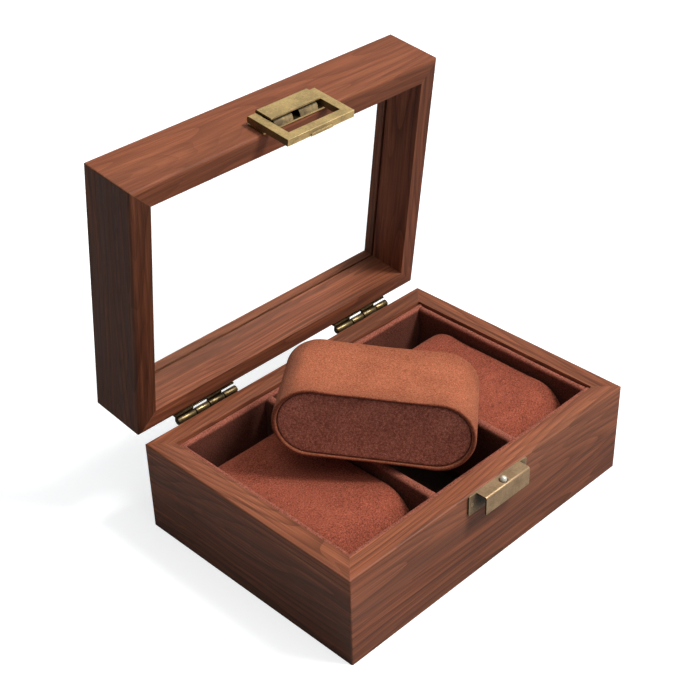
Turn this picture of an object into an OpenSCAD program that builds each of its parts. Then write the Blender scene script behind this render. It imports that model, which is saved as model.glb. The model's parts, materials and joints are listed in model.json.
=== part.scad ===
// Three-place watch box: a mitred wooden case with a glazed lid, a suede lining and
// three watch cushions, two seated and the third lying across the dividers.
// Millimetres, +Z up, front towards -Y, origin at the centre of the underside.

/* [Case] */
// Outside width of the case
case_w = 200; // [194:1:230]
// Outside depth of the case
case_d = 143; // [140:1:165]
// Height of the case without its lid
case_h = 52.5; // [50:0.5:60]
// Thickness of the wooden walls
wall_t = 11; // [9:0.5:12]
// Rounding of the case rim's outer edge
rim_r = 1.2; // [0.4:0.1:2]
// Rounding of the upright corners of case and lid
corner_r = 0.9; // [0.4:0.1:3]
// Thickness of the bottom panel
bottom_t = 4; // [3:0.5:6]
// Thickness of the felt under the bottom panel
felt_t = 1; // [0.6:0.1:1.5]

/* [Lining] */
// Thickness of the suede-covered lining boards
lining_t = 3.6; // [2.5:0.1:4.5]
// How far the lining stops below the wooden rim
lining_drop = 1.2; // [0.5:0.1:3]
// Thickness of the lining's floor
floor_t = 2; // [1:0.5:3]
// Thickness of a divider
divider_t = 5.4; // [4:0.1:6]
// How far the dividers stop below the lining's top
divider_drop = 0.3; // [0:0.1:4]

/* [Cushions] */
// Length of a cushion from rounded end to rounded end
cushion_l = 98; // [90:1:102]
// Height of a cushion
cushion_h = 38.5; // [34:0.5:40]
// Width of a cushion
cushion_w = 50.5; // [44:0.5:52]
// Thickness of the suede wrap with its padding
cover_t = 2; // [1:0.5:4]
// Thickness of the flat panel in each end of a cushion
panel_t = 2; // [1:0.5:3]
// How deep the end panels sit inside the wrap
panel_recess = 1; // [0.4:0.1:2]
// Centre of the loose cushion
loose_at = [-16.5, -9, 72.6];
// Roll, pitch and yaw of the loose cushion, in degrees
loose_turn = [-5.1, 4.4, -51.7];

/* [Lid] */
// Height of the lid
lid_h = 34; // [30:0.5:42]
// Rounding of the lid rim's outer edge
lid_rim_r = 2.4; // [0.6:0.1:3]
// Rounding of the lid's outer top edge
lid_top_r = 1.2; // [0.6:0.1:3]
// Height of the glass above the rim of the lid
glass_at = 22.9; // [18:0.1:24]
// Thickness of the glass
glass_t = 2; // [1.5:0.1:3]
// Height of the groove left open below the glass
glass_play = 0.5; // [0:0.1:1]
// How far the glass enters the walls on each side
glass_in = 3.8; // [2:0.1:4.5]
// Height of the bevel round the window on top of the lid
bevel_h = 3.8; // [1:0.1:5]
// Width of the bevel round the window on top of the lid
bevel_w = 5.5; // [1:0.1:7]
// How far the lid is turned open
lid_open = 83; // [0:1:83]

/* [Hinges] */
// Distance of each hinge's centre from the middle of the case
hinge_x = 56.8; // [45:0.1:70]
// Radius of the hinge barrel
barrel_r = 1.9; // [1.7:0.1:1.9]
// Radius of the hinge pin
hinge_pin_r = 0.95; // [0.8:0.05:1]
// Distance of the hinge axis behind the back face
axis_out = 3; // [3:0.1:4]
// Distance of the hinge axis below the case rim
axis_down = 1; // [0.8:0.1:1.5]
// Thickness of the hinge leaves
leaf_t = 1; // [0.8:0.1:1]
// Height of a hinge leaf on the wood
leaf_h = 15; // [12:0.5:18]

/* [Latch and catch] */
// Thickness of the catch's folded brass sheet
sheet_t = 0.9; // [0.7:0.1:1]
// Width of the plates that lie on the wood
plate_w = 42.6; // [40:0.2:50]
// Width of the catch box
catch_w = 32; // [26:0.5:32]
// How far the catch box stands out from the wood
catch_out = 7.2; // [7:0.1:8]
// Height of the catch box's front
catch_front_h = 10.2; // [9:0.1:10.2]
// Radius of the catch stud
stud_r = 1.8; // [1.5:0.1:1.8]
// Width of the hood over the bail's pivot
hood_w = 32.6; // [30:0.2:32.6]
// Outer width of the bail
bail_w = 43.4; // [42:0.2:50]
// Thickness of the bail
bail_t = 3.7; // [3:0.1:3.7]
// Height of the bail's lower bar
bail_bar = 5; // [4:0.1:6]

/* [Hidden] */
$fn = 96;

walnut = [0.45, 0.22, 0.14];
suede = [0.50, 0.20, 0.14];
suede_light = [0.62, 0.30, 0.20];
dark_suede = [0.32, 0.15, 0.12];
brass = [0.62, 0.52, 0.30];
steel = [0.75, 0.74, 0.70];

eps = 0.01;
fold_r = 0.3;              // inner radius of the folds in the brass sheet
lid_gap = 0.3;             // play between the closed lid's rim and the case rim
inner_w = case_w - 2 * wall_t;
inner_d = case_d - 2 * wall_t;
room_w = inner_w - 2 * lining_t;
room_d = inner_d - 2 * lining_t;
panel_top = felt_t + bottom_t;
room_z = panel_top + floor_t;
lining_top = case_h - lining_drop;
divider_top = lining_top - divider_drop;
slots = 3;
slot_w = (room_w - (slots - 1) * divider_t) / slots;
slot_pitch = slot_w + divider_t;
rim_z = case_h + lid_gap;
axis_y = case_d / 2 + axis_out;
axis_z = case_h - axis_down;

running = 0.05;            // radial clearance of what turns or slides
knuckles = [12, 9, 10, 9]; // lengths along the barrel, lid leaf first
hinge_l = knuckles[0] + knuckles[1] + knuckles[2] + knuckles[3];
knuckle_gap = 0.6;
leaf_screw_x = [-14, 0, 14];
leaf_screw_z = leaf_h / 2 + 1; // height of the screws above or below the axis
screw_l = 8;
screw_r = 0.8;
screw_head_r = 1.7;
slot_t = 0.4;              // width and depth of a screw's slot

brad_l = 6;
brad_r = 0.6;
brad_head_r = 1.1;
brad_x = 18.9;
plate_r = 1;               // rounding of the corners of the plates on the wood

// Heights on the catch are from the case rim, distances out are from the wood.
catch_top = -0.3;
catch_plate_h = 11.4;
catch_brad_z = -6;
stud_out = 3.9;
stud_z = 1.9;
collar = 0.2;              // how far the stud's collar stands out
collar_h = 1;
spring_w = 4;
spring_t = 0.4;
spring_foot = 3;           // height of the spring's foot on the plate
spring_tip = 1;            // how far its flat tip reaches to each side of the stud's middle

// Heights on the latch are from the lid rim.
hood_t = 0.9;
hood_top = 12;
hood_bottom = 1;
hood_out = 6.6;
latch_brad_z = 5;
ear_x = 14.8;
ear_h = 3;
ear_out = 5.2;             // how far the ears reach out from the wood
arch_r = 3.8;
arch_w = 28;
arch_t = 0.6;
arch_z = 0.4;
notch_r = stud_r + 0.5;
pivot_out = 3.4;
pivot_z = 9.5;
pivot_r = 1;
bail_bottom = -16.3;
bail_side = 5;
arm_reach = 2.4;           // how far the side bars reach beyond the pivot's middle
pin_in = 3;                // how far the pivot pin enters each side bar
lip_w = 14;
lip_t = 1.6;
lip_h = 0.5;

// ---- placing -------------------------------------------------------------

// Turns the closed lid and what is fixed to it about the hinge axis.
module on_lid() {
    translate([0, axis_y, axis_z])
        rotate([-lid_open, 0, 0])
            translate([0, -axis_y, -axis_z])
                children();
}

// Runs an outline along x: its x becomes y and its y becomes z.
module run_along_x(length) {
    rotate([90, 0, 90])
        translate([0, 0, -length / 2])
            linear_extrude(length)
                children();
}

// Four places round the case, each with the inward direction as +y.
module at_front() { translate([0, -case_d / 2, 0]) children(); }
module at_back() { rotate([0, 0, 180]) translate([0, -case_d / 2, 0]) children(); }
module at_left() { rotate([0, 0, -90]) translate([0, -case_w / 2, 0]) children(); }
module at_right() { rotate([0, 0, 90]) translate([0, -case_w / 2, 0]) children(); }

// ---- shapes --------------------------------------------------------------

// One rail of a mitred frame: its children are the cross-section, outer face at y = 0.
// The tips of its plan are rounded, so that the frame's upright corners are.
module mitred_rail(length, height) {
    tip = length / 2;
    intersection() {
        run_along_x(length)
            children();
        linear_extrude(height)
            difference() {
                polygon([[-tip, 0], [tip, 0], [tip - wall_t, wall_t], [-tip + wall_t, wall_t]]);
                for (side = [0, 1])
                    mirror([side, 0])
                        translate([-tip, 0])
                            corner_cut(corner_r);
            }
    }
}

// A corner of radius r to take away, with its point at the origin.
module corner_cut(r) {
    difference() {
        translate([-eps, -eps])
            square(r + eps);
        translate([r, r])
            circle(r);
    }
}

module case_section() {
    difference() {
        square([wall_t, case_h]);
        translate([0, case_h])
            mirror([0, 1])
                corner_cut(rim_r);
    }
}

module lid_section() {
    difference() {
        translate([0, rim_z])
            square([wall_t, lid_h]);
        translate([0, rim_z])
            corner_cut(lid_rim_r);
        translate([0, rim_z + lid_h])
            mirror([0, 1])
                corner_cut(lid_top_r);
        translate([wall_t - glass_in - running, rim_z + glass_at - glass_play])
            square([glass_in + 1, glass_t + glass_play + 2 * running]);
        translate([wall_t, rim_z + lid_h])
            polygon([[eps, eps], [-bevel_w, eps], [-bevel_w, 0], [0, -bevel_h], [eps, -bevel_h]]);
    }
}

module case_wall(length) {
    mitred_rail(length, case_h)
        case_section();
}

module lid_wall(length) {
    mitred_rail(length, rim_z + lid_h)
        lid_section();
}

// A countersunk shape driven along +z from z = 0, or its hole when it has play round it.
module countersunk(head, shank, length, play = 0) {
    cylinder(h = head - shank, r1 = head + play, r2 = shank + play);
    cylinder(h = length + play, r = shank + play);
}

module screw() {
    difference() {
        countersunk(screw_head_r, screw_r, screw_l);
        translate([-screw_head_r, -slot_t / 2, -eps])
            cube([2 * screw_head_r, slot_t, slot_t + eps]);
    }
}

module screw_hole() {
    translate([0, 0, -eps])
        countersunk(screw_head_r, screw_r, screw_l, running);
}

module brad() {
    countersunk(brad_head_r, brad_r, brad_l);
}

module brad_hole() {
    translate([0, 0, -eps])
        countersunk(brad_head_r, brad_r, brad_l, running);
}

// ---- case ----------------------------------------------------------------

module case_front_wall() {
    color(walnut)
        difference() {
            at_front()
                case_wall(case_w);
            catch_brad_places()
                brad_hole();
        }
}

module case_back_wall() {
    color(walnut)
        difference() {
            at_back()
                case_wall(case_w);
            case_screw_places()
                screw_hole();
        }
}

module case_left_wall() {
    color(walnut)
        at_left()
            case_wall(case_d);
}

module case_right_wall() {
    color(walnut)
        at_right()
            case_wall(case_d);
}

module bottom_panel() {
    color([0.55, 0.42, 0.30])
        translate([-inner_w / 2, -inner_d / 2, felt_t])
            cube([inner_w, inner_d, bottom_t]);
}

module base_felt() {
    color([0.20, 0.12, 0.10])
        translate([-inner_w / 2, -inner_d / 2, 0])
            cube([inner_w, inner_d, felt_t]);
}

// ---- lining --------------------------------------------------------------

module lining_floor() {
    color(dark_suede)
        translate([-inner_w / 2, -inner_d / 2, panel_top])
            cube([inner_w, inner_d, floor_t]);
}

// A board with a rounded top edge, its thickness along y and centred on y = 0.
module covered_board(length, t, top) {
    run_along_x(length) {
        translate([-t / 2, room_z])
            square([t, top - t / 2 - room_z]);
        intersection() {
            translate([0, top - t / 2])
                circle(t / 2);
            translate([-t / 2, room_z])
                square([t, top - room_z]);
        }
    }
}

module lining_board(length) {
    translate([0, wall_t + lining_t / 2, 0])
        covered_board(length, lining_t, lining_top);
}

module lining_front() {
    color(suede)
        at_front()
            lining_board(inner_w);
}

module lining_back() {
    color(suede)
        at_back()
            lining_board(inner_w);
}

module lining_left() {
    color(suede)
        at_left()
            lining_board(room_d);
}

module lining_right() {
    color(suede)
        at_right()
            lining_board(room_d);
}

module divider(side) {
    translate([side * slot_pitch / 2, 0, 0])
        rotate([0, 0, 90])
            covered_board(room_d, divider_t, divider_top);
}

module divider_left() {
    color(suede)
        divider(-1);
}

module divider_right() {
    color(suede)
        divider(1);
}

// ---- cushions ------------------------------------------------------------
// Each is built about its own centre: long axis x, height z, width y.

module stadium(l, h) {
    square([l - h, h], center = true);
    for (side = [-1, 1])
        translate([side * (l - h) / 2, 0])
            circle(h / 2);
}

module stadium_block(l, h, w) {
    rotate([90, 0, 0])
        linear_extrude(w, center = true)
            stadium(l, h);
}

module cushion_cover() {
    color(suede_light)
        difference() {
            stadium_block(cushion_l, cushion_h, cushion_w);
            stadium_block(cushion_l - 2 * cover_t, cushion_h - 2 * cover_t, cushion_w + 1);
        }
}

// What fills the wrap is a touch smaller than its inside.
module cushion_filling(w) {
    inset = 2 * (cover_t + running);
    stadium_block(cushion_l - inset, cushion_h - inset, w);
}

module cushion_core() {
    color([0.85, 0.82, 0.70])
        cushion_filling(cushion_w - 2 * (panel_recess + panel_t));
}

module cushion_ends() {
    color(dark_suede)
        for (side = [-1, 1])
            translate([0, side * (cushion_w / 2 - panel_recess - panel_t / 2), 0])
                cushion_filling(panel_t);
}

module seated(side) {
    translate([side * slot_pitch, 0, room_z + cushion_h / 2])
        rotate([0, 0, 90])
            children();
}

module lying_loose() {
    translate(loose_at)
        rotate(loose_turn)
            children();
}

// ---- lid -----------------------------------------------------------------

module lid_front_wall() {
    color(walnut)
        on_lid()
            difference() {
                at_front()
                    lid_wall(case_w);
                latch_brad_places()
                    brad_hole();
            }
}

module lid_back_wall() {
    color(walnut)
        on_lid()
            difference() {
                at_back()
                    lid_wall(case_w);
                lid_screw_places()
                    screw_hole();
            }
}

module lid_left_wall() {
    color(walnut)
        on_lid()
            at_left()
                lid_wall(case_d);
}

module lid_right_wall() {
    color(walnut)
        on_lid()
            at_right()
                lid_wall(case_d);
}

module lid_glass() {
    w = inner_w + 2 * glass_in;
    d = inner_d + 2 * glass_in;
    color([0.85, 0.92, 0.92, 0.35])
        on_lid()
            translate([-w / 2, -d / 2, rim_z + glass_at + running])
                cube([w, d, glass_t]);
}

// ---- hinges --------------------------------------------------------------
// Knuckles 0 and 2 belong to the lid's leaf, 1 and 3 to the case's leaf.

function knuckle_start(i) = i == 0 ? -hinge_l / 2 : knuckle_start(i - 1) + knuckles[i - 1];

// One knuckle with the tab that joins it to its leaf; up is 1 on the lid, -1 on the case.
module knuckle(i, up, bore_r) {
    length = knuckles[i] - knuckle_gap;
    translate([knuckle_start(i) + knuckles[i] / 2, axis_y, axis_z])
        run_along_x(length)
            difference() {
                union() {
                    circle(barrel_r);
                    mirror([0, up > 0 ? 0 : 1])
                        translate([-axis_out, barrel_r - leaf_t])
                            square([axis_out, leaf_t]);
                }
                circle(bore_r);
            }
}

// A leaf on the back face with its two knuckles; up is 1 on the lid, -1 on the case.
module hinge_leaf(up, bore_r) {
    z_low = up > 0 ? barrel_r - leaf_t : -leaf_h;
    length = leaf_h - barrel_r + (up > 0 ? leaf_t : 0);
    notch = [for (i = up > 0 ? [1, 3] : []) i];
    color(brass)
        difference() {
            union() {
                translate([-hinge_l / 2, case_d / 2, axis_z + z_low])
                    cube([hinge_l, leaf_t, length]);
                for (i = up > 0 ? [0, 2] : [1, 3])
                    knuckle(i, up, bore_r);
            }
            for (i = notch)
                translate([knuckle_start(i) - knuckle_gap / 2, case_d / 2 - eps, axis_z + z_low - eps])
                    cube([knuckles[i] + knuckle_gap, leaf_t + 2 * eps, leaf_t + eps]);
            leaf_screw_places(up)
                screw_hole();
        }
}

// The screws of one leaf, driven forwards into the wood.
module leaf_screw_places(up) {
    for (x = leaf_screw_x)
        translate([x, case_d / 2 + leaf_t, axis_z + up * leaf_screw_z])
            rotate([90, 0, 0])
                children();
}

// Both hinges' places along the back.
module at_hinges() {
    for (side = [-1, 1])
        translate([side * hinge_x, 0, 0])
            children();
}

module case_screw_places() {
    at_hinges()
        leaf_screw_places(-1)
            children();
}

module lid_screw_places() {
    at_hinges()
        leaf_screw_places(1)
            children();
}

module case_leaf(side) {
    translate([side * hinge_x, 0, 0])
        hinge_leaf(-1, hinge_pin_r);
}

module lid_leaf(side) {
    on_lid()
        translate([side * hinge_x, 0, 0])
            hinge_leaf(1, hinge_pin_r + running);
}

module hinge_pin(side) {
    color(brass)
        translate([side * hinge_x - hinge_l / 2, axis_y, axis_z])
            rotate([0, 90, 0])
                cylinder(h = hinge_l, r = hinge_pin_r);
}

module hinge_case_screws() {
    color(brass)
        case_screw_places()
            screw();
}

module hinge_lid_screws() {
    color(brass)
        on_lid()
            lid_screw_places()
                screw();
}

// ---- catch and latch: shapes ---------------------------------------------

// Puts a fitting on the front face: x along the front, -y out of the wood, z from the rim.
module on_front(rim) {
    translate([0, -case_d / 2, rim])
        children();
}

// Runs an outline along x: its x is the distance out of the wood and its y is the height.
module outwards(length) {
    mirror([0, 1, 0])
        run_along_x(length)
            children();
}

// A plate with rounded corners that lies on the wood from z0 to z1.
module wood_plate(z0, z1, t) {
    side_x = plate_w / 2 - plate_r;
    rotate([90, 0, 0])
        linear_extrude(t) {
            translate([-side_x, z0])
                square([2 * side_x, z1 - z0]);
            translate([-plate_w / 2, z0 + plate_r])
                square([plate_w, z1 - z0 - 2 * plate_r]);
            for (x = [-side_x, side_x])
                for (z = [z0 + plate_r, z1 - plate_r])
                    translate([x, z])
                        circle(plate_r);
        }
}

// The sheet folded out over the top of the plate and down in front of it.
module folded_sheet(out, top, bottom, t) {
    turn = fold_r + t;
    translate([0, top - t])
        square([out - turn, t]);
    translate([out - turn, top - turn])
        intersection() {
            difference() {
                circle(turn);
                circle(fold_r);
            }
            square(turn);
        }
    translate([out - t, bottom])
        square([t, top - turn - bottom]);
}

// The two brads of a plate, driven back into the wood.
module brad_places(z, t) {
    for (side = [-1, 1])
        translate([side * brad_x, -t, z])
            rotate([-90, 0, 0])
                children();
}

// ---- catch on the case front ---------------------------------------------

module catch_bracket() {
    color(brass)
        on_front(case_h)
            difference() {
                union() {
                    wood_plate(catch_top - catch_plate_h, catch_top, sheet_t);
                    outwards(catch_w)
                        folded_sheet(catch_out, catch_top, catch_top - catch_front_h, sheet_t);
                }
                translate([0, -stud_out, catch_top - sheet_t - eps])
                    cylinder(h = sheet_t + 2 * eps, r = stud_r + running);
                brad_places(catch_brad_z, sheet_t)
                    brad_hole();
            }
}

module catch_brad_places() {
    on_front(case_h)
        brad_places(catch_brad_z, sheet_t)
            children();
}

module catch_brads() {
    color(brass)
        catch_brad_places()
            brad();
}

// A domed stud that its collar holds under the sheet and the spring pushes up.
module catch_stud() {
    collar_top = catch_top - sheet_t - running;
    dome_z = stud_z - stud_r;
    color(steel)
        on_front(case_h)
            translate([0, -stud_out, 0]) {
                translate([0, 0, dome_z])
                    sphere(stud_r);
                translate([0, 0, collar_top - collar_h])
                    cylinder(h = dome_z - collar_top + collar_h, r = stud_r);
                translate([0, 0, collar_top - collar_h])
                    cylinder(h = collar_h, r = stud_r + collar);
            }
}

// A bent leaf spring that stands on the plate and carries the stud.
module catch_spring() {
    tip_z = catch_top - sheet_t - running - collar_h;
    foot_z = catch_top - catch_front_h;
    bend_z = foot_z + spring_foot;
    color(steel)
        on_front(case_h)
            outwards(spring_w)
                polygon([[sheet_t, foot_z], [sheet_t + spring_t, foot_z], [sheet_t + spring_t, bend_z],
                    [stud_out - spring_tip, tip_z - spring_t], [stud_out + spring_tip, tip_z - spring_t],
                    [stud_out + spring_tip, tip_z], [stud_out - spring_tip - spring_t, tip_z],
                    [sheet_t, bend_z + spring_t]]);
}

// ---- latch on the lid front ----------------------------------------------

module latch_brad_places() {
    on_front(rim_z)
        brad_places(latch_brad_z, hood_t)
            children();
}

module latch_brads() {
    color(brass)
        on_lid()
            latch_brad_places()
                brad();
}

// The pivot pin's cylinder, or its bore when it is given a wider radius.
module pivot_cylinder(length, r) {
    translate([-length / 2, -pivot_out, pivot_z])
        rotate([0, 90, 0])
            cylinder(h = length, r = r);
}

// The plate on the lid with its folded hood and the two ears that carry the pivot pin.
module latch_plate() {
    color(brass)
        on_lid()
            on_front(rim_z)
                difference() {
                    union() {
                        wood_plate(lid_gap, hood_top, hood_t);
                        outwards(hood_w)
                            folded_sheet(hood_out, hood_top, hood_bottom, hood_t);
                        for (side = [-1, 1])
                            translate([side * ear_x, 0, 0])
                                outwards(hood_t)
                                    translate([hood_t, pivot_z - ear_h])
                                        square([ear_out - hood_t, hood_top - hood_t - pivot_z + ear_h]);
                    }
                    pivot_cylinder(hood_w + 1, pivot_r + running);
                    brad_places(latch_brad_z, hood_t)
                        brad_hole();
                }
}

// An arched leaf under the hood, with a notch that the stud enters.
module latch_spring() {
    color([0.48, 0.43, 0.33])
        on_lid()
            on_front(rim_z)
                difference() {
                    outwards(arch_w)
                        translate([hood_t, arch_z + arch_r])
                            intersection() {
                                difference() {
                                    circle(arch_r);
                                    circle(arch_r - arch_t);
                                }
                                translate([0, -arch_r])
                                    square([arch_r, 2 * arch_r]);
                            }
                    rotate([90, 0, 0])
                        linear_extrude(hood_out) {
                            translate([-notch_r, 0])
                                square([2 * notch_r, arch_r]);
                            translate([0, arch_r])
                                circle(notch_r);
                        }
                }
}

module latch_pivot_pin() {
    color(brass)
        on_lid()
            on_front(rim_z)
                pivot_cylinder(bail_w - 2 * bail_side + 2 * pin_in, pivot_r);
}

// A side bar's outline, rounded above the pivot just enough to turn over the plate.
module bail_arm() {
    intersection() {
        translate([pivot_out - bail_t / 2, bail_bottom])
            square([bail_t, pivot_z + arm_reach - bail_bottom]);
        union() {
            translate([pivot_out, pivot_z])
                circle(arm_reach);
            translate([pivot_out - bail_t / 2, bail_bottom])
                square([bail_t, pivot_z - bail_bottom]);
        }
    }
}

// The swinging frame: two side bars on the pivot pin and a bar that hooks under the catch.
module latch_bail() {
    color(brass)
        on_lid()
            on_front(rim_z)
                difference() {
                    union() {
                        for (side = [-1, 1])
                            translate([side * (bail_w - bail_side) / 2, 0, 0])
                                outwards(bail_side)
                                    bail_arm();
                        translate([-bail_w / 2, -pivot_out - bail_t / 2, bail_bottom])
                            cube([bail_w, bail_t, bail_bar]);
                        translate([-lip_w / 2, -pivot_out + bail_t / 2 - lip_t, bail_bottom - lip_h])
                            cube([lip_w, lip_t, 2 * lip_h]);
                    }
                    pivot_cylinder(bail_w - 2 * bail_side + 2 * pin_in, pivot_r);
                }
}

// ---- drawing -------------------------------------------------------------

case_front_wall();
case_back_wall();
case_left_wall();
case_right_wall();
bottom_panel();
base_felt();
lining_floor();
lining_front();
lining_back();
lining_left();
lining_right();
divider_left();
divider_right();
seated(-1) cushion_cover();  // left_cushion_cover
seated(-1) cushion_core();  // left_cushion_core
seated(-1) cushion_ends();  // left_cushion_ends
seated(1) cushion_cover();  // right_cushion_cover
seated(1) cushion_core();  // right_cushion_core
seated(1) cushion_ends();  // right_cushion_ends
lying_loose() cushion_cover();  // loose_cushion_cover
lying_loose() cushion_core();  // loose_cushion_core
lying_loose() cushion_ends();  // loose_cushion_ends
lid_front_wall();
lid_back_wall();
lid_left_wall();
lid_right_wall();
lid_glass();
case_leaf(-1);  // left_hinge_case_leaf
case_leaf(1);  // right_hinge_case_leaf
lid_leaf(-1);  // left_hinge_lid_leaf
lid_leaf(1);  // right_hinge_lid_leaf
hinge_pin(-1);  // left_hinge_pin
hinge_pin(1);  // right_hinge_pin
hinge_case_screws();
hinge_lid_screws();
catch_bracket();
catch_stud();
catch_spring();
catch_brads();
latch_plate();
latch_spring();
latch_brads();
latch_bail();
latch_pivot_pin();
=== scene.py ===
"""The looks of the watch box: walnut, suede, foam cushions, antique brass and glass."""

import json
import math

import bpy
import numpy as np
from mathutils import Euler, Matrix, Vector, noise


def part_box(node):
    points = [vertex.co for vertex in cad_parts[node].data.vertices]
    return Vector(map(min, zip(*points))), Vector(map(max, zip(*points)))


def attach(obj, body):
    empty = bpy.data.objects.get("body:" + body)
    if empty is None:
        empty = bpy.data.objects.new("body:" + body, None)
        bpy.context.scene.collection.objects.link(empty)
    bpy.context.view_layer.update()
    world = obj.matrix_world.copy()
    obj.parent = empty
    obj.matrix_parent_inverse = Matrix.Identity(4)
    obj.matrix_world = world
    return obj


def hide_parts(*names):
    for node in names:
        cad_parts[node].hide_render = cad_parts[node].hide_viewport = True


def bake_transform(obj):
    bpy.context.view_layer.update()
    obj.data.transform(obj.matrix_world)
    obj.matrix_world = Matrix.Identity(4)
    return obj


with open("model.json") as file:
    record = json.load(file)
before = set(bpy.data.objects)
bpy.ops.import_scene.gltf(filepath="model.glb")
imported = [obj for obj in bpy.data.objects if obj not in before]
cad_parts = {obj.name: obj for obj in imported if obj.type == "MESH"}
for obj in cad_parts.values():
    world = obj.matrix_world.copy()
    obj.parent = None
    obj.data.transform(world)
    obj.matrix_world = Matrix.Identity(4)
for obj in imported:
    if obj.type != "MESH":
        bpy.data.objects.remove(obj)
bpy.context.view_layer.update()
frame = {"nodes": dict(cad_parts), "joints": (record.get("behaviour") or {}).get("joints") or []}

MM = 0.001
nodes = frame["nodes"]
joints = {joint["name"]: joint for joint in frame["joints"]}
LID_OPEN = math.radians(joints["lid_hinge"]["range_deg"][1])


# ---- shader trees --------------------------------------------------------

class Tree:
    """A material's node tree, with one short call for each node."""

    def __init__(self, name):
        self.material = bpy.data.materials.new(name)
        self.material.use_nodes = True
        self.nodes = self.material.node_tree.nodes
        self.links = self.material.node_tree.links
        self.shader = self.nodes["Principled BSDF"]
        self.position = self.add("TexCoord").outputs["Object"]

    def add(self, kind, inputs=None, **settings):
        node = self.nodes.new("ShaderNode" + kind)
        for key, value in settings.items():
            setattr(node, key, value)
        for key, value in (inputs or {}).items():
            self.plug(node.inputs[key], value)
        return node

    def plug(self, socket, value):
        if isinstance(value, bpy.types.NodeSocket):
            self.links.new(value, socket)
        elif isinstance(value, tuple) and socket.type == "RGBA":
            socket.default_value = (*value[:3], 1.0)
        else:
            socket.default_value = value

    def set(self, **inputs):
        """Sets the shader's own sockets; an underscore in a name stands for a space."""
        for key, value in inputs.items():
            self.plug(self.shader.inputs[key.replace("_", " ")], value)

    def noise(self, scale, detail=2.0, roughness=0.5, vector=None, distortion=0.0):
        """A noise whose features measure about 1 / scale metres."""
        inputs = {"Vector": vector or self.position, "Scale": scale, "Detail": detail,
                  "Roughness": roughness, "Distortion": distortion}
        return self.add("TexNoise", inputs).outputs["Fac"]

    def mapped(self, vector, scale=(1, 1, 1), shift=(0, 0, 0), turn=(0, 0, 0)):
        inputs = {"Vector": vector, "Scale": scale, "Location": shift, "Rotation": turn}
        return self.add("Mapping", inputs).outputs["Vector"]

    def math(self, operation, a, b=0.0, clamp=False):
        return self.add("Math", {0: a, 1: b}, operation=operation, use_clamp=clamp).outputs[0]

    def ramp(self, value, stops):
        """Colours along a value: stops are (place, colour) pairs."""
        node = self.add("ValToRGB", {"Fac": value})
        elements = node.color_ramp.elements
        while len(elements) < len(stops):
            elements.new(0.5)
        for element, (place, colour) in zip(elements, stops):
            element.position = place
            element.color = (*colour, 1.0)
        return node.outputs["Color"]

    def band(self, value, low, high, out_low=0.0, out_high=1.0):
        """A value between low and high, spread from out_low to out_high."""
        inputs = {"Value": value, "From Min": low, "From Max": high, "To Min": out_low, "To Max": out_high}
        return self.add("MapRange", inputs).outputs["Result"]

    def mix(self, share, a, b, blend="MIX"):
        node = self.add("Mix", data_type="RGBA", blend_type=blend)
        self.plug(node.inputs["Factor"], share)
        colours_in = [socket for socket in node.inputs if socket.type == "RGBA"]
        for socket, colour in zip(colours_in, (a, b)):
            self.plug(socket, colour)
        return next(socket for socket in node.outputs if socket.type == "RGBA")

    def scaled(self, colour, factor):
        """A colour made lighter or darker by a value."""
        grey = self.add("CombineColor", {"Red": factor, "Green": factor, "Blue": factor}).outputs[0]
        return self.mix(1.0, colour, grey, "MULTIPLY")

    def shaded(self, colour, value, low, high, out_low, out_high):
        """A colour scaled by out_low where a value is low, and by out_high where it is high."""
        return self.scaled(colour, self.band(value, low, high, out_low, out_high))

    def layered(self, first, second, third):
        """The sum of three (value, share) pairs."""
        parts = [self.math("MULTIPLY", value, share) for value, share in (first, second, third)]
        return self.math("ADD", parts[0], self.math("ADD", parts[1], parts[2]))

    def bump(self, height, distance, strength):
        inputs = {"Height": height, "Distance": distance, "Strength": strength}
        return self.add("Bump", inputs).outputs["Normal"]

    def edges(self, radius, low, high):
        """1 on the edges that are within radius of a turn of the surface, and 0 on the flats."""
        rounded = self.add("Bevel", {"Radius": radius}, samples=2).outputs[0]
        normal = self.add("NewGeometry").outputs["Normal"]
        along = self.add("VectorMath", {0: rounded, 1: normal}, operation="DOT_PRODUCT").outputs["Value"]
        return self.band(self.math("SUBTRACT", 1.0, along), low, high)


# ---- materials -----------------------------------------------------------

WORN_EDGE = 0.8 * MM        # how far from its edges the wood is lighter
PAINTED_SHADE_BELOW = 45 * MM      # painted shade: the wood darkens from this height down to the floor, as if less light reached it there


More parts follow.
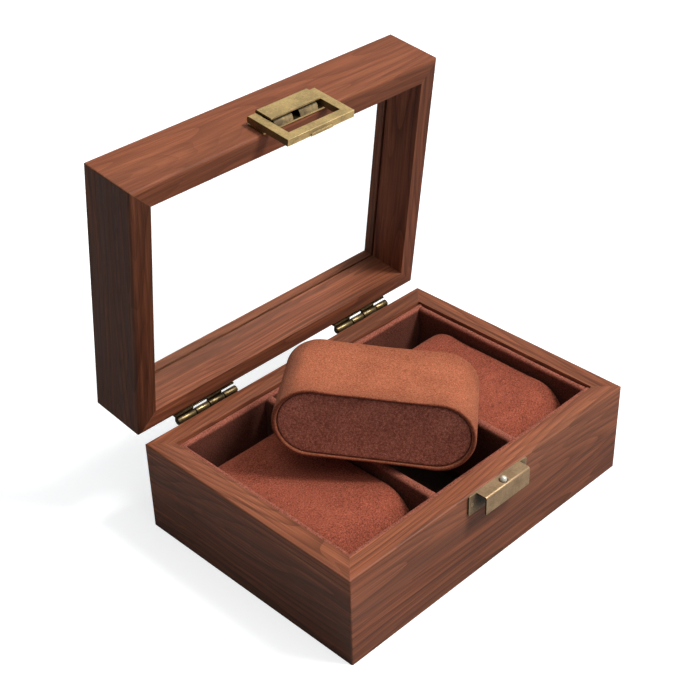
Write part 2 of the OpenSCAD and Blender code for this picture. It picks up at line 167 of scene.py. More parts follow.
def wood(name, along, turned=0.0, slant=0.0, tone=1.0, plain=0.2, gloss=0.26, seed=0.0):
    """Oiled walnut with its grain along one axis of the board; plain boards show less figure."""
    tree = Tree(name)
    shift = (0.13 * seed, 0.37 * seed, 0.71 * seed)
    place = tree.mapped(tree.position, turn=(turned, 0, 0))
    place = tree.mapped(place, turn=(0, 0, slant), shift=shift)
    sway = tree.noise(11.0, detail=1.0, vector=place)
    offset = tree.math("MULTIPLY", tree.math("SUBTRACT", sway, 0.5), 0.006)
    drift = tree.add("CombineXYZ", {axis: offset for axis in "XYZ" if axis != along}).outputs[0]
    grain = tree.add("VectorMath", {0: place, 1: drift}, operation="ADD").outputs[0]

    def streaks(scale, stretch, detail=2.0, roughness=0.55):
        scales = tuple(1 / stretch if axis == along else 1.0 for axis in "XYZ")
        return tree.noise(scale, detail, roughness, tree.mapped(grain, scale=scales))

    broad = streaks(60.0, 13.0)
    middle = streaks(420.0, 60.0, 3.0, 0.6)
    fine = streaks(1500.0, 90.0)
    figure = tree.layered((broad, 0.26), (middle, 0.44), (fine, 0.30))
    colour = tree.ramp(figure, [(0.39, (0.150, 0.048, 0.024)), (0.46, (0.250, 0.077, 0.036)),
                                (0.525, (0.345, 0.106, 0.048)), (0.60, (0.440, 0.152, 0.072))])
    rings = tree.math("FRACT", tree.math("MULTIPLY", streaks(26.0, 13.0, 1.0), 30.0))
    colour = tree.shaded(colour, rings, 0.40, 1.0, 1.11, 0.58)
    thin_rings = tree.math("FRACT", tree.math("MULTIPLY", streaks(48.0, 24.0, 1.0), 34.0))
    colour = tree.shaded(colour, thin_rings, 0.4, 1.0, 1.06, 0.74)
    pores = streaks(1900.0, 70.0, 1.0)
    colour = tree.shaded(colour, pores, 0.57, 0.68, 1.0, 0.76)
    grey = tree.band(streaks(42.0, 9.0), 0.48, 0.66, 0.0, 0.45)
    colour = tree.mix(grey, colour, (0.130, 0.062, 0.038))
    colour = tree.mix(plain, colour, (0.290, 0.092, 0.044))
    colour = tree.scaled(colour, tone)
    # painted shade: the boards darken towards the floor, where less light would reach them
    height = tree.add("SeparateXYZ", {0: tree.position}).outputs[2]
    colour = tree.shaded(colour, height, 0.0, PAINTED_SHADE_BELOW, 0.62, 1.05)
    worn = tree.edges(WORN_EDGE, 0.04, 0.35)
    colour = tree.mix(tree.math("MULTIPLY", worn, 0.30), colour, (0.48, 0.23, 0.13))
    relief = tree.math("SUBTRACT", tree.math("MULTIPLY", fine, 0.4), tree.band(pores, 0.57, 0.68))
    tree.set(Base_Color=colour, Roughness=tree.band(middle, 0.3, 0.7, 0.46, 0.58),
             Specular_IOR_Level=tree.band(worn, 0.0, 1.0, gloss, 0.4 * gloss),
             Normal=tree.bump(relief, 0.05 * MM, 0.6))
    return tree.material


def suede(name, deep, light, coarse=1.0, sheen=0.12, tips=1.5, seed=0.0, lit_from=None, hem=None):
    """Short-napped suede: fine speckle, brushed patches, and painted light above a height, if one is given,
    where the top catches the light.
    It carries painted shade near the hem of a wrap, where it is rolled, and near the seam of a panel, where
    the groove would shade it."""
    tree = Tree(name)
    place = tree.mapped(tree.position, shift=(seed, 0.5 * seed, 0.25 * seed))
    speckle = tree.noise(1300.0 / coarse, 3.0, 0.75, place)
    fibre = tree.noise(3400.0 / coarse, 2.0, 0.6, place)
    patches = tree.noise(45.0, 3.0, 0.6, place, distortion=0.8)
    tone = tree.layered((speckle, 0.58), (fibre, 0.28), (patches, 0.14))
    colour = tree.ramp(tone, [(0.41, deep), (0.59, light)])
    ends = tree.band(tree.noise(2300.0 / coarse, 1.0, 0.5, place), 0.62, 0.74, 1.0, tips)
    colour = tree.scaled(colour, ends)
    edge = tree.add("Attribute", attribute_name="edge").outputs["Fac"]
    # painted shade: the wrap darkens towards its hems and on the roll itself, where the cushion's curve
    # turns away from the light
    if hem == "rolled":
        colour = tree.shaded(colour, edge, 0.50, 0.98, 1.0, 0.80)
        rolled = tree.mix(1.0, colour, (0.56, 0.46, 0.50), "MULTIPLY")
        colour = tree.mix(tree.band(edge, 0.98, 1.0), colour, rolled)
    # painted shadow: the panel darkens next to its seam, as if shaded by the groove
    if hem == "sewn":
        colour = tree.shaded(colour, edge, 0.1, 0.9, 1.0, 0.25)
    if lit_from:
        # painted light: the nap is made lighter above this height, where the top of the lining catches the
        # light
        height = tree.add("SeparateXYZ", {0: tree.position}).outputs[2]
        colour = tree.shaded(colour, height, lit_from, lit_from + 1.2 * MM, 1.0, 2.5)
    nap = tree.math("ADD", speckle, tree.math("MULTIPLY", fibre, 0.7))
    tree.set(Base_Color=colour, Roughness=tree.band(patches, 0.3, 0.7, 0.86, 0.98), Specular_IOR_Level=0.04,
             Sheen_Weight=sheen, Sheen_Roughness=0.45, Sheen_Tint=(0.95, 0.55, 0.40),
             Normal=tree.bump(nap, 0.28 * MM * coarse, 0.6))
    return tree.material


def brass(name, base, patina, bright, edge_share=0.7, metal=0.85, rough=0.44, hole=None):
    """Antique brass: mottled patina, brushed lines, edges worn bright, or painted shade on them where the
    edge colour is dark, and painted shade in the hollows, on the faces that look sideways and round a hole,
    if one is given as its centre and radius."""
    tree = Tree(name)
    mottle = tree.noise(800.0, 4.0, 0.7)
    clouds = tree.noise(110.0, 3.0, 0.5)
    brushed = tree.noise(2200.0, 2.0, 0.5, tree.mapped(tree.position, scale=(0.06, 1, 1)))
    tone = tree.math("ADD", tree.math("MULTIPLY", mottle, 0.40), tree.math("MULTIPLY", clouds, 0.60))
    colour = tree.ramp(tone, [(0.40, patina), (0.50, base), (0.62, tuple(1.2 * c for c in base))])
    specks = tree.band(tree.noise(1900.0, 2.0, 0.6), 0.60, 0.72, 1.0, 0.62)
    colour = tree.scaled(colour, specks)
    patchy = tree.band(mottle, 0.35, 0.6, 0.55, 1.0)
    # edges worn bright, or, with a dark edge colour as on the hinges, painted shade in the gaps between
    # parts
    rubbed_or_gap_shade = tree.math("MULTIPLY", tree.edges(0.38 * MM, 0.02, 0.22), patchy)
    colour = tree.mix(tree.math("MULTIPLY", rubbed_or_gap_shade, edge_share), colour, bright)
    # painted shade: ambient occlusion darkens the hollows, such as inside the catch's hood, that the light
    # doesn't reach
    hollow_shade = tree.add("AmbientOcclusion", {"Distance": 14 * MM}, samples=6, only_local=True).outputs["AO"]
    colour = tree.shaded(colour, hollow_shade, 0.60, 0.93, 0.07, 1.0)
    # painted shade: faces that look along X are darker, as if out of the light
    normal = tree.add("SeparateXYZ", {0: tree.add("NewGeometry").outputs["True Normal"]}).outputs[0]
    side_shade = tree.band(tree.math("ABSOLUTE", normal), 0.7, 0.95)
    colour = tree.shaded(colour, side_shade, 0.0, 1.0, 1.0, 0.22)
    if hole:
        centre, radius = hole
        level = (1.0, 1.0, 0.0)
        flat = tree.add("VectorMath", {0: tree.position, 1: level}, operation="MULTIPLY").outputs[0]
        middle = (centre.x, centre.y, 0.0)
        away = tree.add("VectorMath", {0: flat, 1: middle}, operation="DISTANCE").outputs["Value"]
        # painted shadow: a dark ring round the stud's hole, for the shade in the gap round the stud
        colour = tree.shaded(colour, away, radius + 0.30 * MM, radius + 0.65 * MM, 0.06, 1.0)
    height = tree.math("ADD", tree.math("MULTIPLY", brushed, 0.5), mottle)
    roughness = tree.band(tone, 0.40, 0.62, rough + 0.08, rough - 0.04)
    tree.set(Base_Color=colour, Metallic=metal, Roughness=roughness, Specular_IOR_Level=0.3,
             Normal=tree.bump(height, 0.035 * MM, 0.5))
    return tree.material


def steel():
    """The stud and its spring: bright nickel with faint rubbing marks."""
    tree = Tree("bright_steel")
    marks = tree.noise(1600.0, 3.0, 0.6)
    colour = tree.ramp(marks, [(0.35, (0.74, 0.68, 0.54)), (0.65, (0.92, 0.88, 0.76))])
    tree.set(Base_Color=colour, Metallic=0.35, Roughness=tree.band(marks, 0.3, 0.7, 0.22, 0.34))
    return tree.material


def glass():
    """Clear float glass that lets lamps through."""
    tree = Tree("glass")
    tree.set(Base_Color=(0.97, 0.99, 0.98), Roughness=0.0, IOR=1.45, Transmission_Weight=1.0)
    clear = tree.add("BsdfTransparent", {"Color": (0.95, 0.97, 0.96)}).outputs[0]
    shadow = tree.add("LightPath").outputs["Is Shadow Ray"]
    both = tree.add("MixShader", {0: shadow, 1: tree.shader.outputs[0], 2: clear})
    tree.plug(tree.nodes["Material Output"].inputs["Surface"], both.outputs[0])
    return tree.material


def felt(name, deep, light):
    """Pressed felt with loose fibres in every direction."""
    tree = Tree(name)
    fibres = tree.noise(900.0, 4.0, 0.75, distortion=1.5)
    tree.set(Base_Color=tree.ramp(fibres, [(0.35, deep), (0.65, light)]), Roughness=1.0,
             Specular_IOR_Level=0.05, Sheen_Weight=0.2, Normal=tree.bump(fibres, 0.3 * MM, 0.7))
    return tree.material


def board():
    """Pale fibreboard under the case."""
    tree = Tree("board")
    chips = tree.noise(600.0, 3.0, 0.7)
    tree.set(Base_Color=tree.ramp(chips, [(0.3, (0.30, 0.19, 0.11)), (0.7, (0.46, 0.32, 0.20))]),
             Roughness=0.8, Normal=tree.bump(chips, 0.1 * MM, 0.5))
    return tree.material


# ---- CAD nodes that keep their shape -------------------------------------

def soften(node, width, segments=2):
    """Rounds a CAD node's sharp edges with modifiers, which leave its own mesh alone."""
    weld = node.modifiers.new("weld", "WELD")
    weld.merge_threshold = 0.002 * MM
    flat = node.modifiers.new("flat", "DECIMATE")
    flat.decimate_type = "DISSOLVE"
    flat.angle_limit = math.radians(0.5)
    bevel = node.modifiers.new("bevel", "BEVEL")
    bevel.width = width
    bevel.segments = segments
    bevel.limit_method = "ANGLE"
    bevel.angle_limit = math.radians(32)
    bevel.harden_normals = True
    bevel.use_clamp_overlap = True


def finish_node(name, material, width=0.0, segments=2):
    """Gives a CAD node its material and, where a width is given, softened edges."""
    node = nodes[name]
    if not node.material_slots:
        node.data.materials.append(None)
    for place in node.material_slots:
        place.material = material
    if width:
        soften(node, width, segments)


# ---- pieces with a mesh of their own --------------------------------------

def mesh_piece(name, points, faces, material, body, smooth=True):
    """A visible piece. It rides a body, or none if none is given."""
    mesh = bpy.data.meshes.new(name)
    mesh.from_pydata([tuple(p) for p in points], [], faces)
    mesh.validate()
    mesh.polygons.foreach_set("use_smooth", [smooth] * len(mesh.polygons))
    mesh.materials.append(material)
    piece = bpy.data.objects.new(name, mesh)
    bpy.context.scene.collection.objects.link(piece)
    if body:
        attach(piece, body)
    return piece


def tube_faces(rings, count, first=0):
    """Quads between neighbouring rings of count points each."""
    faces = []
    for ring in range(rings - 1):
        for i in range(count):
            a = first + ring * count + i
            b = first + ring * count + (i + 1) % count
            faces.append((a, b, b + count, a + count))
    return faces


# The unevenness of suede: the length and height of each of its waves.
BOARD_WAVES = ((14 * MM, 0.16 * MM), (4 * MM, 0.05 * MM))
FLOOR_WAVES = ((12 * MM, 0.12 * MM),)
WRAP_WAVES = ((16 * MM, 0.22 * MM), (5 * MM, 0.06 * MM))
SUNK = 0.12 * MM           # how far glued suede lies inside its board's box
FLOOR_EDGE = 0.3 * MM      # how far the floor's suede is rolled down at its border


def unevenness(point, waves):
    """A smooth random height at a point, the same in every run."""
    return sum(noise.noise(Vector(point) / length) * height for length, height in waves)


def covered_board(name, node, material):
    """A board wrapped in suede: a rounded top with a fold line, and faces that aren't quite flat."""
    low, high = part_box(node)
    size = high - low
    along = 0 if size.x > size.y else 1
    thick = 1 - along
    half = size[thick] / 2
    length = size[along]
    steps = max(8, round(length / (3 * MM)))
    arc = [math.pi * k / 10 for k in range(11)]
    wall = [k / 8 for k in range(8)]
    height = size.z - half
    section = [(half, height * k) for k in wall]
    section += [(half * math.cos(a), height + half * math.sin(a)) for a in arc]
    section += [(-half, height * k) for k in reversed(wall)]
    points = []
    for step in range(steps + 1):
        for y, z in section:
            p = Vector((0, 0, low.z + z))
            p[along] = low[along] + length * step / steps
            p[thick] = (low[thick] + high[thick]) / 2 + y
            dent = unevenness(p, BOARD_WAVES) - SUNK
            edge = min(step, steps - step) / 2
            outward = 1 if y >= 0 else -1
            if z > 2 * MM and edge >= 0.5:
                p[thick] += outward * dent * min(1, abs(y) / half)
                p.z += dent * max(0.0, (z - height) / half) * 1.5
            points.append(p)
    count = len(section)
    faces = tube_faces(steps + 1, count)
    faces.append(tuple(reversed(range(count))))
    faces.append(tuple(range(steps * count, (steps + 1) * count)))
    piece = mesh_piece(name, points, faces, material, "case")
    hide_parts(node)


def covered_floor(name, node, material):
    """The board under the cushions, wrapped in suede that dips a little between its glue spots."""
    low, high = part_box(node)
    columns, rows = (max(2, round((high - low)[axis] / (4 * MM))) for axis in (0, 1))
    points, faces = [], []
    for top in (True, False):
        first = len(points)
        for row in range(rows + 1):
            for column in range(columns + 1):
                x = low.x + (high.x - low.x) * column / columns
                y = low.y + (high.y - low.y) * row / rows
                dip = SUNK + unevenness((x, y, 0.0), FLOOR_WAVES)
                inside = 0 < row < rows and 0 < column < columns
                points.append((x, y, high.z - (dip if inside else FLOOR_EDGE) if top else low.z))
        for row in range(rows):
            for column in range(columns):
                a = first + row * (columns + 1) + column
                b = a + columns + 1
                faces.append((a, a + 1, b + 1, b) if top else (a, b, b + 1, a + 1))
    under = len(points) // 2
    border = list(range(columns))
    border += [columns + row * (columns + 1) for row in range(rows)]
    border += [rows * (columns + 1) + column for column in range(columns, 0, -1)]
    border += [row * (columns + 1) for row in range(rows, 0, -1)]
    for a, b in zip(border, border[1:] + border[:1]):
        faces.append((b, a, a + under, b + under))
    piece = mesh_piece(name, points, faces, material, "case")
    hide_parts(node)


# ---- cushions ------------------------------------------------------------

AROUND = 150               # points round a cushion's outline
ROLL = 1.15 * MM           # radius of the rolled edge of the wrap
RECESS = 0.9 * MM          # how deep the end panels sit
PANEL_CROWN = 0.3 * MM     # how far the middle of an end panel bulges
SWELL = 1.6 * MM           # the most that the filling may push the suede out
GATHER = 0.10 * MM         # height of the small gathers beside a rolled edge
GATHER_STEP = 2.6 * MM     # length of a gather along the edge
SEAM_SHADE_WIDTH = 1.5 * MM         # width of the painted shade beside a panel's seam, where its groove would shade it
CLOTH_FRAMES = 20          # steps of the cloth simulation


def stadium(length, height):
    """Points, outward normals and distance along the outline of a stadium, evenly spaced."""
    radius = height / 2
    straight = length - height
    arc = math.pi * radius
    s = np.arange(AROUND) / AROUND * 2 * (straight + arc)
    half = s % (straight + arc)
    upper = np.where(s >= straight + arc, -1.0, 1.0)
    turn = np.clip((half - straight) / radius, 0, math.pi)
    flat = np.minimum(half, straight) - straight / 2
    x = flat + np.sin(turn) * radius
    z = -np.cos(turn) * radius
    normals = np.stack([np.sin(turn), -np.cos(turn)], 1) * upper[:, None]
    return np.stack([x, z], 1) * upper[:, None], normals, s


def cushion_rings(width, radius):
    """(inset, y) of each ring from the middle of one end to that of the other, and the seam's place."""
    edge = width / 2
    panel = []
    for share in (0.14, 0.28, 0.42, 0.56, 0.70, 0.82):
        crown = PANEL_CROWN * (1 - (share / 0.82) ** 2)
        panel.append((radius * (1 - share), RECESS - crown))
    panel += [(2 * ROLL + 0.9 * MM, RECESS + 0.05 * MM), (2 * ROLL + 0.35 * MM, RECESS + 0.3 * MM)]
    seam = [(2 * ROLL, RECESS + 0.9 * MM)]
    roll = [(ROLL + ROLL * math.cos(a), ROLL - ROLL * math.sin(a)) for a in np.linspace(0, math.pi, 9)]
    side = panel + seam + roll
    span = edge - ROLL
    rings = [(inset, depth - edge) for inset, depth in side]
    rings += [(0.0, -span + 2 * span * k / 18) for k in range(1, 18)]
    rings += [(inset, edge - depth) for inset, depth in reversed(side)]
    return rings, len(panel)


def cap_faces(length, height):
    """Closes a stadium's ring of points by quads between its two long sides."""
    radius = height / 2
    around = 2 * (length - height + math.pi * radius)
    tip = round((length - height + math.pi * radius / 2) / around * AROUND)
    half = AROUND // 2
    faces = [(tip, tip + 1, tip - 1)]
    faces += [(tip + k, tip + k + 1, tip - k - 1, tip - k) for k in range(1, half - 1)]
    faces.append((tip + half - 1, tip + half, tip - half + 1))
    return [tuple(i % AROUND for i in face) for face in faces]


def cushion_grid(length, height, width):
    """A closed cushion's points by ring and place round it, and what its outline gives with them."""
    outline, normals, s = stadium(length, height)
    radius = height / 2
    rings, seam = cushion_rings(width, radius)
    points = np.zeros((len(rings), AROUND, 3))
    for k, (inset, y) in enumerate(rings):
        flat = outline - normals * inset
        points[k, :, 0] = flat[:, 0]
        points[k, :, 1] = y
        points[k, :, 2] = flat[:, 1]
    return points, normals, s, seam


def swell(points, seam, caps):
    """Blows the closed cushion up a little as cloth held at its seams, and returns how each point moved."""
    rings = len(points)
    faces = tube_faces(rings, AROUND) + [tuple(reversed(face)) for face in caps]
    faces += [tuple((rings - 1) * AROUND + i for i in face) for face in caps]
    start = points.reshape(-1, 3)
    mesh = bpy.data.meshes.new("swelling")
    mesh.from_pydata([tuple(p) for p in start], [], faces)
    cloth_object = bpy.data.objects.new("swelling", mesh)
    bpy.context.scene.collection.objects.link(cloth_object)
    held = cloth_object.vertex_groups.new(name="seams")
    for k in (seam, seam + 1, rings - 2 - seam, rings - 1 - seam):
        held.add(list(range(k * AROUND, (k + 1) * AROUND)), 1.0, "REPLACE")
    cloth = cloth_object.modifiers.new("cloth", "CLOTH")
    settings = cloth.settings
    settings.quality = 6
    settings.mass = 0.3
    settings.tension_stiffness = 12
    settings.compression_stiffness = 12
    settings.bending_stiffness = 0.8
    settings.use_pressure = True
    settings.uniform_pressure_force = 4.0
    settings.vertex_group_mass = "seams"
    settings.effector_weights.gravity = 0.0
    cloth.point_cache.frame_start = 1
    cloth.point_cache.frame_end = CLOTH_FRAMES
    for moment in range(1, CLOTH_FRAMES + 1):
        bpy.context.scene.frame_set(moment)
    done = cloth_object.evaluated_get(bpy.context.evaluated_depsgraph_get())
    moved = np.array([v.co for v in done.data.vertices]) - start
    bpy.context.scene.frame_set(1)
    bpy.data.objects.remove(cloth_object)
    bpy.data.meshes.remove(mesh)
    return moved.reshape(points.shape)


def cushion(name, place, body, materials, rests, seed):
    """One cushion: its wrap with rolled edges, and its two end panels. place puts it in the frame, and
    rests is the share of the swelling held back at its underside, where it lies on something."""
    length, height, width = place["size"]
    points, normals, s, seam = cushion_grid(length, height, width)
    caps = cap_faces(length, height)
    moved = swell(points, seam, caps)
    reach = np.abs(moved).max()
    moved *= min(1.0, SWELL / max(reach, 1e-9))
    resting = np.clip(-points[:, :, 2] / (height / 2) * 4 - 3, 0, 1) * rests
    moved[:, :, 2] = np.where(moved[:, :, 2] < 0, moved[:, :, 2] * (1 - resting), moved[:, :, 2])
    points = points + moved
    pucker(points, normals, s, seam, seed)
    matrix = place["matrix"]
    world = [matrix @ Vector(p) for p in points.reshape(-1, 3)]
    rings = len(points)
    wrap_first, wrap_last = seam, rings - 1 - seam
    wrap_points = world[wrap_first * AROUND:(wrap_last + 1) * AROUND]
    wrap = mesh_piece(f"{name}_wrap", wrap_points, tube_faces(wrap_last - wrap_first + 1, AROUND),
                      materials[0], body)
    # how near each point of the wrap is to its hem, for its painted shade
    note_edge(wrap, np.abs(points[wrap_first:wrap_last + 1, :, 1]).reshape(-1) / (width / 2))
    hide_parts(f"{name}_cover", f"{name}_core")
    count = (seam + 1) * AROUND
    panel_points = world[:count] + world[-count:]
    faces = tube_faces(seam + 1, AROUND) + tube_faces(seam + 1, AROUND, first=count)
    faces += [tuple(reversed(face)) for face in caps]
    faces += [tuple(2 * count - AROUND + i for i in face) for face in caps]
    panels = mesh_piece(f"{name}_panels", panel_points, faces, materials[1], body)
    insets = np.array([inset for inset, _ in cushion_rings(width, height / 2)[0][:seam + 1]])
    # painted shadow on the panels: 1 at the seam, fading to 0 away from it
    from_seam = np.repeat(np.clip(1 - (insets - insets[-1]) / SEAM_SHADE_WIDTH, 0, 1), AROUND)
    note_edge(panels, np.concatenate([from_seam, from_seam[::-1]]))
    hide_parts(f"{name}_ends")
    for piece in (wrap, panels):
        smooth = piece.modifiers.new("smooth", "SUBSURF")
        smooth.levels = 1
        smooth.render_levels = 1


def note_edge(piece, values):
    """Keeps how near each point is to its seam, for the material's painted shade there."""
    edge = piece.data.attributes.new("edge", "FLOAT", "POINT")
    edge.data.foreach_set("value", values.astype(np.float32))


def pucker(points, normals, s, seam, seed):
    """Small gathers where the wrap is turned over its edge, and a faint unevenness everywhere."""
    rings = len(points)
    for k in range(rings):
        from_seam = min(abs(k - seam), abs(k - (rings - 1 - seam)))
        gather = GATHER * math.exp(-((from_seam - 5) / 3.0) ** 2)
        for i in range(AROUND):
            p = points[k, i]
            out = Vector((normals[i, 0], 0, normals[i, 1]))
            wave = noise.noise(Vector((s[i] / GATHER_STEP, seed, 0.0)))
            soft = unevenness(p + seed, WRAP_WAVES)
            on_wrap = seam + 2 < k < rings - 3 - seam
            if on_wrap:
                points[k, i] = p + np.array(out) * (gather * wave + soft)
            elif from_seam > 2:
                points[k, i, 1] += soft * 0.7


def seated_place(node):
    """A seated cushion's size and place from its CAD box: it is long in Y and wide in X."""
    low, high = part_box(node)
    size = high - low
    matrix = Matrix.Translation((low + high) / 2) @ Matrix.Rotation(math.pi / 2, 4, "Z")
    return {"size": (size.y, size.z, size.x), "matrix": matrix}


LOOSE_TURN = (-5.1, 4.4, -51.7)   # roll, pitch and yaw of the loose cushion, in degrees


def loose_place(node, like):
    """The loose cushion has the size of a seated one and lies across the dividers."""
    low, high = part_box(node)
    turn = Euler([math.radians(a) for a in LOOSE_TURN], "XYZ").to_matrix().to_4x4()
    return {"size": like["size"], "matrix": Matrix.Translation((low + high) / 2) @ turn}


# ---- everything with its material ----------------------------------------

SOFT_WOOD = 0.25 * MM       # width of the softened edges of wood
SOFT_SHEET = 0.22 * MM      # of folded brass and the bail
SOFT_LEAF = 0.12 * MM       # of the latch's leaf
SOFT_SMALL = 0.1 * MM       # of hinges, pins and brads
SOFT_TINY = 0.06 * MM       # of screws and the stud
SOFT_GLASS = 0.15 * MM      # of the pane


def dress_wood():
    """The boards of case and lid, the bottom and its felt, and the pane."""
    # each side's grain direction, and the tones of its case board and its lid board; they differ from board
    # to board, and the low tone of the lid's left board is partly painted shade for its face away from the
    # key light
    boards = (("front", "X", 1.10, 0.86), ("back", "X", 0.84, 0.86), ("left", "Y", 0.84, 0.40),
              ("right", "Y", 0.86, 0.78))
    for seed, (side, along, case_tone_and_shade, lid_tone_and_shade) in enumerate(boards):
        plain = 0.55 if side == "front" else 0.25
        case = wood(f"walnut_case_{side}", along, tone=case_tone_and_shade, seed=seed + 1)
        lid = wood(f"walnut_lid_{side}", along, LID_OPEN, math.radians(1), lid_tone_and_shade, plain, 0.18, seed + 5)
        finish_node(f"case_{side}_wall", case, SOFT_WOOD)
        finish_node(f"lid_{side}_wall", lid, SOFT_WOOD)
    finish_node("bottom_panel", board())
    finish_node("base_felt", felt("felt", (0.035, 0.016, 0.012), (0.075, 0.034, 0.026)))
    finish_node("lid_glass", glass(), SOFT_GLASS, 1)


def dress_metal():
    """The brass of latch, catch and hinges, and the steel of the stud with its spring."""
    bright = (0.84, 0.68, 0.38)
    stud_low, stud_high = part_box("catch_stud")
    stud_hole = ((stud_low + stud_high) / 2, (stud_high.x - stud_low.x) / 2 - 0.2 * MM)
    light = brass("antique_brass", (0.78, 0.55, 0.235), (0.58, 0.41, 0.185), bright)
    satin = brass("satin_brass", (0.475, 0.315, 0.175), (0.375, 0.245, 0.132), bright,
                  metal=0.7, rough=0.46, hole=stud_hole)
    dull = brass("dark_brass", (0.46, 0.33, 0.16), (0.24, 0.17, 0.09), bright,
                 edge_share=0.25, metal=0.4, rough=0.6)
    # the hinge's edge colour is near black: painted shade that widens the gaps between its knuckles
    hinge = brass("hinge_brass", (0.23, 0.165, 0.075), (0.09, 0.06, 0.03), (0.02, 0.013, 0.008),
                  edge_share=0.85, rough=0.36)
    shiny = steel()
    for name, finish in (("catch_bracket", satin), ("latch_plate", light), ("latch_bail", light)):
        finish_node(name, finish, SOFT_SHEET, 3)
    for name, finish in (("catch_brads", satin), ("latch_brads", light), ("latch_pivot_pin", light)):
        finish_node(name, finish, SOFT_SMALL)
    finish_node("latch_spring", dull, SOFT_LEAF)
    for side in ("left", "right"):
        for part in ("case_leaf", "lid_leaf", "pin"):
            finish_node(f"{side}_hinge_{part}", hinge, SOFT_SMALL)
    for name in ("hinge_case_screws", "hinge_lid_screws"):
        finish_node(name, hinge, SOFT_TINY)
    finish_node("catch_stud", shiny, SOFT_TINY)
    leaf_spring("leaf_spring", "catch_spring", shiny)


def leaf_spring(name, node, material):
    """The strip that presses the stud up: a flat foot, two bends and a flat tip."""
    low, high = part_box(node)
    thick = 0.4 * MM
    foot, bend, tip = 3 * MM, 1.2 * MM, 2 * MM      # lengths of the flat foot, each bend and the flat tip
    bend_steps = 6
    height = high.z - low.z - thick
    reach = high.y - low.y - thick
    ends = [(0.0, 0.0), (0.0, foot - bend), (0.0, foot), (reach - tip, height),
            (reach - tip + bend, height), (reach, height)]
    line = [ends[0]]
    for a, b, c in ((ends[1], ends[2], ends[3]), (ends[2], ends[3], ends[4])):
        toward_a = min(1.0, bend / math.dist(a, b))
        toward_c = min(1.0, bend / math.dist(b, c))
        start = [b[i] + (a[i] - b[i]) * toward_a for i in (0, 1)]
        stop = [b[i] + (c[i] - b[i]) * toward_c for i in (0, 1)]
        for k in range(bend_steps + 1):
            t = k / bend_steps
            shares = ((1 - t) ** 2, 2 * t * (1 - t), t * t)
            line.append([shares[0] * start[i] + shares[1] * b[i] + shares[2] * stop[i] for i in (0, 1)])
    line.append(ends[5])
    points = []
    for k, (out, up) in enumerate(line):
        before, after = line[max(0, k - 1)], line[min(len(line) - 1, k + 1)]
        run = Vector((after[0] - before[0], after[1] - before[1])).normalized()
        y, z = high.y - thick / 2 - out, low.z + thick / 2 + up
        dy, dz = run.y * thick / 2, run.x * thick / 2
        for x, side in ((low.x, -1), (high.x, -1), (high.x, 1), (low.x, 1)):
            points.append((x, y + side * dy, z + side * dz))
    last = len(points) - 4
    faces = tube_faces(len(line), 4) + [(3, 2, 1, 0), (last, last + 1, last + 2, last + 3)]
    piece = mesh_piece(name, points, faces, material, None, smooth=False)
    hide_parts(node)
    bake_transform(piece)


def dress_suede():
    """The lining, the floor and the three cushions."""
    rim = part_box("lining_front")[1].z - 2.4 * MM      # painted light: the lining is lighter from here up, where its top catches the light
    lining = suede("lining_suede", (0.066, 0.020, 0.013), (0.185, 0.059, 0.038), lit_from=rim)
    # painted shade: the floor's suede is near black, for the deep slots where little light reaches
    floor = suede("shaded_floor_suede", (0.012, 0.007, 0.005), (0.030, 0.016, 0.012), sheen=0.05, seed=3.0)
    seated = suede("seated_suede", (0.158, 0.036, 0.021), (0.455, 0.120, 0.069),
                   tips=1.9, seed=1.0, hem="rolled")
    loose = suede("loose_suede", (0.260, 0.072, 0.034), (0.590, 0.190, 0.098),
                  tips=1.6, seed=2.0, hem="rolled")
    panel = suede("panel_suede", (0.210, 0.062, 0.041), (0.590, 0.190, 0.125),
                  coarse=1.4, tips=1.7, hem="sewn")
    for side in ("front", "back", "left", "right"):
        covered_board(f"{side}_lining", f"lining_{side}", lining)
    for side in ("left", "right"):
        covered_board(f"{side}_divider", f"divider_{side}", lining)
    covered_floor("floor_lining", "lining_floor", floor)
    left = seated_place("left_cushion_cover")
    right = seated_place("right_cushion_cover")
    across = loose_place("loose_cushion_cover", left)
    cushion("left_cushion", left, "case", (seated, panel), rests=1.0, seed=1.0)
    cushion("right_cushion", right, "case", (seated, panel), rests=1.0, seed=2.0)
    cushion("loose_cushion", across, "loose_cushion", (loose, panel), rests=0.7, seed=3.0)


# ---- studio --------------------------------------------------------------

def direction(azimuth, elevation):
    """The unit vector towards a viewer at that azimuth, measured from the front, and elevation."""
    a, e = math.radians(azimuth), math.radians(elevation)
    return Vector((math.sin(a) * math.cos(e), -math.cos(a) * math.cos(e), math.sin(e)))


def soft_sun(name, azimuth, elevation, spread, strength):
    """A far soft light; spread is its width in degrees."""
    lamp = bpy.data.lights.new(name, "SUN")
    lamp.angle = math.radians(spread)
    lamp.energy = strength
    light = bpy.data.objects.new(name, lamp)
    light.rotation_euler = direction(azimuth, elevation).to_track_quat("Z", "Y").to_euler()
    bpy.context.scene.collection.objects.link(light)


def soft_panel(name, azimuth, elevation, distance, size, power):
    """A near round light that faces the box."""
    lamp = bpy.data.lights.new(name, "AREA")
    lamp.shape = "DISK"
    lamp.size = size
    lamp.energy = power
    light = bpy.data.objects.new(name, lamp)
    towards = direction(azimuth, elevation)
    light.location = Vector((0.0, 0.02, 0.08)) + towards * distance
    light.rotation_euler = towards.to_track_quat("Z", "Y").to_euler()
    bpy.context.scene.collection.objects.link(light)


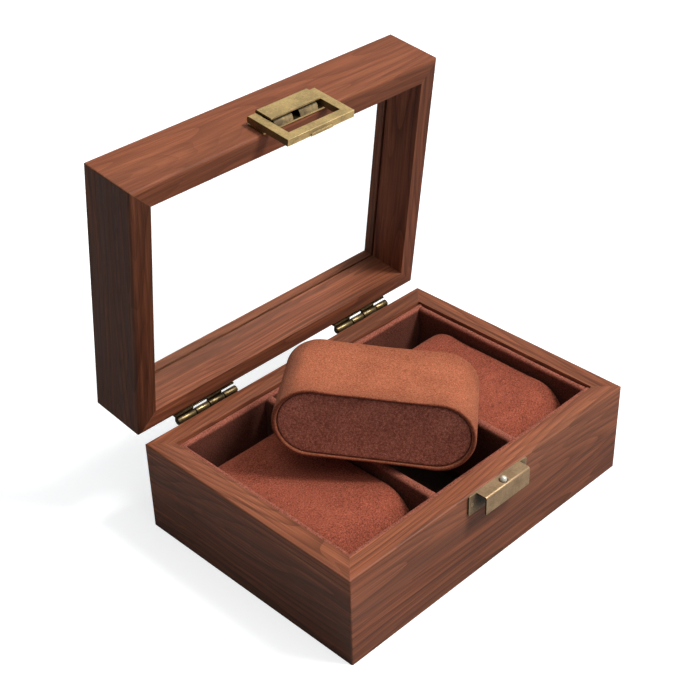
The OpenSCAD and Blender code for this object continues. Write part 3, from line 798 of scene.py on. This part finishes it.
def studio():
    """A pale floor under soft light from above, the right and the front. Seen from the camera, also through
    the glass, floor and backdrop are white, and after a bounce they are darker."""
    half = 40.0
    mesh = bpy.data.meshes.new("floor")
    corners = [(-half, -half, 0), (half, -half, 0), (half, half, 0), (-half, half, 0)]
    mesh.from_pydata(corners, [], [(0, 1, 2, 3)])
    floor = bpy.data.objects.new("floor", mesh)
    floor.location.z = -0.02 * MM
    tree = Tree("studio_floor")
    path = tree.add("LightPath").outputs
    gloss = tree.math("SUBTRACT", path["Is Glossy Ray"], path["Is Transmission Ray"], clamp=True)
    bounces = tree.math("ADD", path["Diffuse Depth"], path["Glossy Depth"])
    past_glass = tree.math("MULTIPLY", path["Is Transmission Ray"], bounces, clamp=True)
    bounce = tree.math("MAXIMUM", tree.math("MAXIMUM", path["Is Diffuse Ray"], past_glass), gloss)
    glow = tree.math("MULTIPLY", tree.math("SUBTRACT", 1.0, bounce), 0.68)
    bounced = tree.mix(gloss, (0.13, 0.15, 0.165), (0.42, 0.42, 0.42))
    tree.set(Base_Color=tree.mix(bounce, (0.62, 0.62, 0.62), bounced), Roughness=0.9,
             Emission_Color=(1.0, 1.0, 1.0), Emission_Strength=glow,
             Specular_IOR_Level=0.1)
    mesh.materials.append(tree.material)
    bpy.context.scene.collection.objects.link(floor)
    soft_sun("key", 40, 54, 16, 2.45)
    soft_sun("overhead", 20, 84, 70, 1.1)
    soft_sun("front_fill", 4, 22, 50, 0.30)
    soft_panel("rear", 130, 40, 1.6, 1.0, 0.9)
    world = bpy.data.worlds.new("studio")
    world.use_nodes = True
    sky, links = world.node_tree.nodes, world.node_tree.links
    soft, seen, choice = sky["Background"], sky.new("ShaderNodeBackground"), sky.new("ShaderNodeMixShader")
    soft.inputs["Color"].default_value = (0.82, 1.0, 1.12, 1.0)
    soft.inputs["Strength"].default_value = 0.10
    ray = sky.new("ShaderNodeLightPath").outputs
    clear = ray["Is Transmission Ray"]
    for operation, other in (("SUBTRACT", "Diffuse Depth"), ("SUBTRACT", "Glossy Depth"),
                             ("MAXIMUM", "Is Camera Ray")):
        step = sky.new("ShaderNodeMath")
        step.operation = operation
        step.use_clamp = True
        links.new(clear, step.inputs[0])
        links.new(ray[other], step.inputs[1])
        clear = step.outputs[0]
    seen.inputs["Color"].default_value = (1.0, 1.0, 1.0, 1.0)
    for source, socket in ((clear, 0), (soft.outputs[0], 1), (seen.outputs[0], 2)):
        links.new(source, choice.inputs[socket])
    links.new(choice.outputs[0], sky["World Output"].inputs["Surface"])
    bpy.context.scene.world = world
    bpy.context.scene.view_settings.view_transform = "Standard"


def camera():
    """The photo's point of view."""
    azimuth, elevation, roll = -44.55, 34.32, -1.45
    distance = 0.7708
    aim = Vector((0.0193, 0.0460, 0.0608))
    data = bpy.data.cameras.new("camera")
    data.lens = 74.91
    data.sensor_width = 36.0
    back = direction(azimuth, elevation)
    across = Vector((math.cos(math.radians(azimuth)), math.sin(math.radians(azimuth)), 0))
    turn = Matrix((across, back.cross(across), back)).transposed()
    eye = bpy.data.objects.new("camera", data)
    turned = turn @ Matrix.Rotation(math.radians(roll), 3, "Z")
    eye.matrix_world = Matrix.Translation(aim + back * distance) @ turned.to_4x4()
    bpy.context.scene.collection.objects.link(eye)
    bpy.context.scene.camera = eye


camera()
studio()
dress_wood()
dress_metal()
dress_suede()
